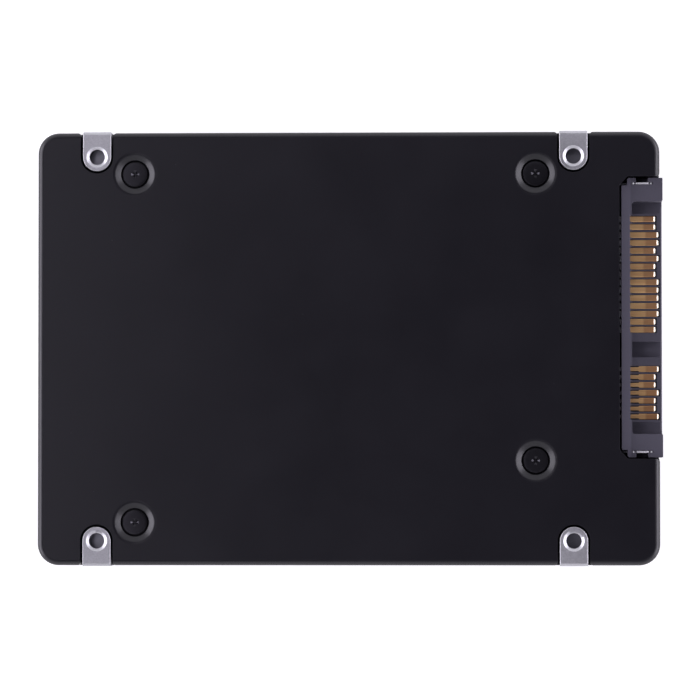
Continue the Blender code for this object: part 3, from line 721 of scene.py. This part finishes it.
def plug(plastic):
    """The housing: base bar and arms, the bay between them, two L-shaped blades, grooves and slots."""
    body = bmesh.new()
    prism(body, plug_outline(), PLUG_LOW.z, PLUG_HIGH.z)
    piece = make("plug_body", body, plastic)

    bay = bmesh.new()
    prism(bay, plug_bay(), BAY_FLOOR, PLUG_HIGH.z + MM)
    combine(piece, "DIFFERENCE", bay)

    notches = bmesh.new()
    for end in (1, -1):
        prism(notches, arm_notch(end), NOTCH_FLOOR, PLUG_HIGH.z + MM)
    combine(piece, "DIFFERENCE", notches)

    blades = bmesh.new()
    for y_range in (POWER_BLADE, SIGNAL_BLADE):
        side_prism(blades, blade_profile(BLADE_LOW, BLADE_HIGH, BLADE_CUT), *y_range)
    combine(piece, "UNION", blades)

    legs = bmesh.new()
    power_leg = (POWER_BLADE[0] + HAIR, POWER_BLADE[0] + LEG_THICK)
    signal_leg = (SIGNAL_BLADE[1] - LEG_THICK, SIGNAL_BLADE[1] - HAIR)
    for y_range in (power_leg, signal_leg):
        side_prism(legs, blade_profile(LEG_LOW, BLADE_HIGH - 0.4 * MM, BLADE_CUT + HAIR), *y_range)
    combine(piece, "UNION", legs)

    cuts = bmesh.new()
    floor, above = CONTACT_TOP - 0.3 * MM, CONTACT_TOP + 0.1 * MM
    for _, y, tip in contact_boxes():
        groove = [
            (BASE_BACK - MM, floor),
            (tip - 0.55 * MM, floor),
            (tip - 0.45 * MM, floor - 0.3 * MM),
            (tip + 0.08 * MM, floor - 0.3 * MM),
            (tip + 0.08 * MM, above),
            (ROOT + 0.1 * MM, above),
            (ROOT + 0.1 * MM, PLUG_HIGH.z + MM),
            (ROOT - 0.28 * MM, PLUG_HIGH.z + MM),
            (ROOT - 0.28 * MM, above),
            (BASE_BACK - MM, above),
        ]
        side_prism(cuts, groove, y - GROOVE, y + GROOVE)
    for end in (1, -1):
        y = PLUG_Y + end * CLIP_LINE
        back, front = LOCK_HIGH.x - CLIP - SLOT_ENDS, LOCK_HIGH.x + SLOT_ENDS
        slot = [
            (ARM_BACK - MM, TUNNEL[0]),
            (back, TUNNEL[0]),
            (back, SLOT_FLOOR),
            (front, SLOT_FLOOR),
            (front, PLUG_HIGH.z + MM),
            (back, PLUG_HIGH.z + MM),
            (back, TUNNEL[1]),
            (ARM_BACK - MM, TUNNEL[1]),
        ]
        side_prism(cuts, slot, y - SLOT, y + SLOT)
    rim = [
        (PLUG_HIGH.x - 0.4 * MM, BAY_FLOOR + HAIR),
        (PLUG_HIGH.x + 0.1 * MM, BAY_FLOOR - 0.25 * MM),
        (PLUG_HIGH.x + 0.1 * MM, BAY_FLOOR + HAIR),
    ]
    rim_half = ARM_INNER - 0.6 * MM
    side_prism(cuts, rim, PLUG_Y - rim_half, PLUG_Y + rim_half)
    combine(piece, "DIFFERENCE", cuts)
    soften(piece, PLUG_BREAK)
    install(piece, "plug_plastic", "plug_housing")


def height_at(line, x):
    """The height at x of a line of (x, z) points."""
    before = max((p for p in line if p[0] <= x), key=lambda p: p[0])
    after = min((p for p in line if p[0] >= x), key=lambda p: p[0])
    share = (x - before[0]) / max(after[0] - before[0], 1e-9)
    return before[1] + (after[1] - before[1]) * share


def contacts(gold):
    """Each contact runs along its groove, dips at its round tip, and steps down to the board."""
    width, thick, chamfer = 0.45 * MM, 0.2 * MM, 0.07 * MM
    for name, y, tip in contact_boxes():
        foot = BOARD_TOP + 0.1 * MM + thick
        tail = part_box(name)[0].x
        line = eased(
            [
                (tail, foot),
                (BASE_BACK - 0.6 * MM, foot, 0.15 * MM),
                (BASE_BACK - 0.25 * MM, CONTACT_TOP, 0.15 * MM),
                (tip - 0.42 * MM, CONTACT_TOP, 0.25 * MM),
                (tip, CONTACT_TOP - 0.26 * MM),
            ],
            steps=6,
        )
        shoulders = (NECK_END - 0.1 * MM, NECK_END) if name.startswith("signal") else ()
        stops = [tip - 0.42 * MM + 0.06 * MM * i for i in range(7)]
        line += [(x, CONTACT_TOP) for x in shoulders] + [(x, height_at(line, x)) for x in stops]
        line.sort(key=lambda point: point[0])
        rings = []
        for x, z in line:
            half = NECK_HALF if shoulders and x < NECK_END - 0.05 * MM else width
            nose = (x - (tip - NOSE)) / NOSE
            if nose > 0:
                half *= 0.3 + 0.7 * math.sqrt(max(0, 1 - nose * nose))
            low = z - thick
            section = [(-half, z - chamfer), (-half, low), (half, low), (half, z - chamfer)]
            section += [(half - chamfer, z), (-half + chamfer, z)]
            rings.append([(x, y + side, height) for side, height in section])
        mesh = bmesh.new()
        moulded(mesh, [(rings, True, True)])
        piece = make(name.replace("contact", "blade"), mesh, gold)
        flatten(piece)
        install(piece, "contact_gold", name)


def locks(tin):
    """Sheet clips in the plug's arms: a bar between two teeth, and a foot soldered to the board."""
    tooth, gap_end, gap_depth = 0.32 * MM, 0.55 * MM, 0.5 * MM
    strip_low, strip_high = 3.9 * MM, 4.6 * MM
    for number, end in enumerate((1, -1), 1):
        name = f"board_lock_{number}"
        low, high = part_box(name)
        y = PLUG_Y + end * CLIP_LINE
        front, back, top = high.x, high.x - CLIP, high.z
        foot, foot_end = low.z + 0.6 * MM, BASE_BACK - 0.6 * MM
        plate = [
            (low.x, foot),
            (foot_end, foot),
            (foot_end, strip_low),
            (back, strip_low),
            (back, low.z),
            (front, low.z),
            (front, top, 0.14 * MM),
            (front - tooth, top, 0.14 * MM),
            (front - tooth, top - gap_depth),
            (front - gap_end, top - gap_depth),
            (front - gap_end, top, 0.3 * MM),
            (back + gap_end, top, 0.3 * MM),
            (back + gap_end, top - gap_depth),
            (back + tooth, top - gap_depth),
            (back + tooth, top, 0.14 * MM),
            (back, top, 0.14 * MM),
            (back, strip_high),
            (low.x, strip_high),
        ]
        mesh = bmesh.new()
        side_prism(mesh, eased(plate, closed=True), y - CLIP_THICK / 2, y + CLIP_THICK / 2)
        piece = make(f"arm_clip_{number}", mesh, tin)
        soften(piece, 0.06 * MM)
        install(piece, "bare_metal", name)


# ---------------------------------------------------------------- label and board


def label(paper):
    """The blank label, its outer edge turned down."""
    mesh = bmesh.new()
    low, high = LABEL_LOW, LABEL_HIGH

    def outline(inset):
        x_range, y_range = (low.x + inset, high.x - inset), (low.y + inset, high.y - inset)
        return rounded(*x_range, *y_range, LABEL_CORNER - inset)

    stations = [(0, high.z), (0, low.z + LABEL_TURN), (LABEL_TURN, low.z)]
    moulded(mesh, [(layers(outline, stations), True, True)])
    install(make("label", mesh, paper), "label_paper", "blank_label")


def dress_board():
    """Gives the board and what stands on it their finishes."""
    black = (0.012, 0.012, 0.013)
    yellow, amber = (0.5, 0.34, 0.06), (0.7, 0.5, 0.12)
    finishes = {
        "circuit_board": finish(
            "solder_mask", (0.006, 0.045, 0.022), (0.012, 0.085, 0.04), (0.25, 0.45), 0.0, 900, 0.01 * MM
        ),
        "chip": finish("chip_epoxy", black, (0.03, 0.03, 0.032), (0.5, 0.7), 0.0, 5000, 0.01 * MM),
        "capacitor": finish("capacitor_body", yellow, amber, (0.4, 0.6), 0.0, 3000, 0.01 * MM),
        "inductor": finish(
            "inductor_ferrite", (0.06, 0.06, 0.065), (0.12, 0.12, 0.125), (0.6, 0.8), 0.0, 6000, 0.02 * MM
        ),
        "crystal": finish(
            "crystal_can", (0.55,) * 3, (0.8,) * 3, (0.2, 0.4), 1.0, 4000, 0.005 * MM, (1, 12, 1)
        ),
        "pad": finish(
            "thermal_pad", (0.36, 0.42, 0.52), (0.5, 0.57, 0.68), (0.7, 0.95), 0.0, 2500, 0.03 * MM
        ),
    }
    for name, node in frame["nodes"].items():
        for key in ("circuit_board", "capacitor", "inductor", "crystal", "pad"):
            if key in name:
                node.data.materials[0] = finishes[key]
        if name.startswith(("flash_", "dram", "power_chip", "controller")) and "pad" not in name:
            node.data.materials[0] = finishes["chip"]


# ---------------------------------------------------------------- studio


def studio():
    """A pale floor just under the label face, a soft sky, softboxes and the camera."""
    floor = bmesh.new()
    size, bottom, thickness = 1.6, -0.02 * MM, 0.01
    box(floor, (-size, size), (-size, size), (bottom - thickness, bottom))
    white = finish("floor_white", (0.86, 0.86, 0.86), (0.9, 0.9, 0.9), (0.7, 0.9), 0.0, 300, 0.02 * MM)
    shader = white.node_tree.nodes["Principled BSDF"]
    shader.inputs["Emission Color"].default_value = (1, 1, 1, 1)
    shader.inputs["Emission Strength"].default_value = FLOOR_GLOW
    make("floor", floor, white)

    world = bpy.data.worlds.new("studio")
    bpy.context.scene.world = world
    world.use_nodes = True
    tree = world.node_tree
    place = add(tree, "TexCoord").outputs["Generated"]
    height = add(tree, "SeparateXYZ", {0: place}).outputs["Z"]
    ramp = add(tree, "ValToRGB", {0: height})
    glows = ((0.25, HORIZON), (0.68, ZENITH))
    for element, (position, colour) in zip(ramp.color_ramp.elements, glows):
        element.position, element.color = position, (*colour, 1)
    tree.links.new(ramp.outputs[0], tree.nodes["Background"].inputs["Color"])

    for name, place, size, power in SOFTBOXES:
        lamp = bpy.data.lights.new(name, "AREA")
        lamp.shape = "RECTANGLE"
        lamp.size, lamp.size_y = size
        lamp.energy = power
        lamp.color = LAMP_TINT
        light = bpy.data.objects.new(name, lamp)
        bpy.context.scene.collection.objects.link(light)
        light.location = place
        light.rotation_euler = Vector(place).to_track_quat("Z", "Y").to_euler()

    scene = bpy.context.scene
    scene.view_settings.view_transform = "Standard"
    lens = bpy.data.cameras.new("camera")
    lens.lens, lens.sensor_width = CAMERA_LENS, 36
    lens.clip_start, lens.clip_end = 0.05, 10
    camera = bpy.data.objects.new("camera", lens)
    scene.collection.objects.link(camera)
    tilt = Matrix.Rotation(math.radians(CAMERA_TURN[2]), 4, "Z")
    tilt = tilt @ Matrix.Rotation(math.radians(CAMERA_TURN[1]), 4, "Y")
    tilt = tilt @ Matrix.Rotation(math.radians(CAMERA_TURN[0]), 4, "X")
    aim = tilt @ Vector(CAMERA_SHIFT) + Vector((0.1 * MM, 0, 0))
    camera.matrix_world = Matrix.Translation(aim) @ tilt @ Matrix.Translation((0, 0, CAMERA_DISTANCE))
    scene.camera = camera


# ---------------------------------------------------------------- model

paint = finish(
    "black_paint", (0.0062, 0.0058, 0.0084), (0.0078, 0.0073, 0.0105), (0.31, 0.37), 0.0, 6000, 0.005 * MM,
    Specular_IOR_Level=0.4,
)
add_specks(paint, (0.12, 0.12, 0.13), 260, 0.02)

# The base bar is painted a little lighter than the rest of the plug: painted light against the shade that
# the cover's notch wall casts on it.
plastic = finish(
    "plug_plastic", (0.066, 0.062, 0.083), (0.081, 0.077, 0.101), (0.5, 0.62), 0.0, 5000, 0.008 * MM
)
tint_along(plastic, "Object", 0, ROOT - 0.05 * MM, ROOT - 0.3 * MM, (0.106, 0.1, 0.132))

# The lugs are machined on top and turn darker lower down their sides.
metal = finish(
    "bare_aluminium", (0.46, 0.46, 0.475), (0.63, 0.63, 0.65), (0.36, 0.5), 0.85, 4500, 0.015 * MM
)
tint_along(metal, "Object", 2, LUG_TOP - 0.45 * MM, LUG_TOP - 0.9 * MM, (0.34, 0.34, 0.37))

# The contacts are tinned at the tail. Towards the tip they turn darker and redder, a painted shade for the
# front part, and pale at the tip, a painted highlight. Towards -Y, over the signal contacts, they turn
# redder, a painted reflection.
gold = finish(
    "contact_gold", (0.86, 0.52, 0.23), (1.0, 0.66, 0.31), (0.34, 0.46), 0.8, 3000, 0.006 * MM, (0.15, 1, 1)
)
tint_along(gold, "Generated", 0, 0.24, 0.17, (0.85, 0.85, 0.9))
# painted shade: darker and redder over the front part
tint_along(gold, "Generated", 0, 0.68, 0.73, (0.66, 0.36, 0.17))
# painted highlight: pale at the tip
tint_along(gold, "Generated", 0, 0.94, 0.95, (0.95, 0.86, 0.68))
# painted reflection: redder towards -Y, over the signal contacts
tint_along(gold, "Object", 1, 0, -40 * MM, (0.3, 0.1, 0.02))

tin = finish("bright_tin", (0.82, 0.82, 0.84), (0.94, 0.94, 0.95), (0.45, 0.6), 0.25, 4000, 0.008 * MM)
steel = finish(
    "black_screw", (0.034, 0.033, 0.038), (0.048, 0.047, 0.053), (0.3, 0.38), 0.95, 6000, 0.002 * MM
)
paper = finish("label_paper", (0.72, 0.72, 0.71), (0.8, 0.8, 0.79), (0.5, 0.65), 0.0, 4000, 0.006 * MM)

cover(paint)
shell(paint)
lugs(metal)
screws(steel)
plug(plastic)
contacts(gold)
locks(tin)
label(paper)
dress_board()
studio()
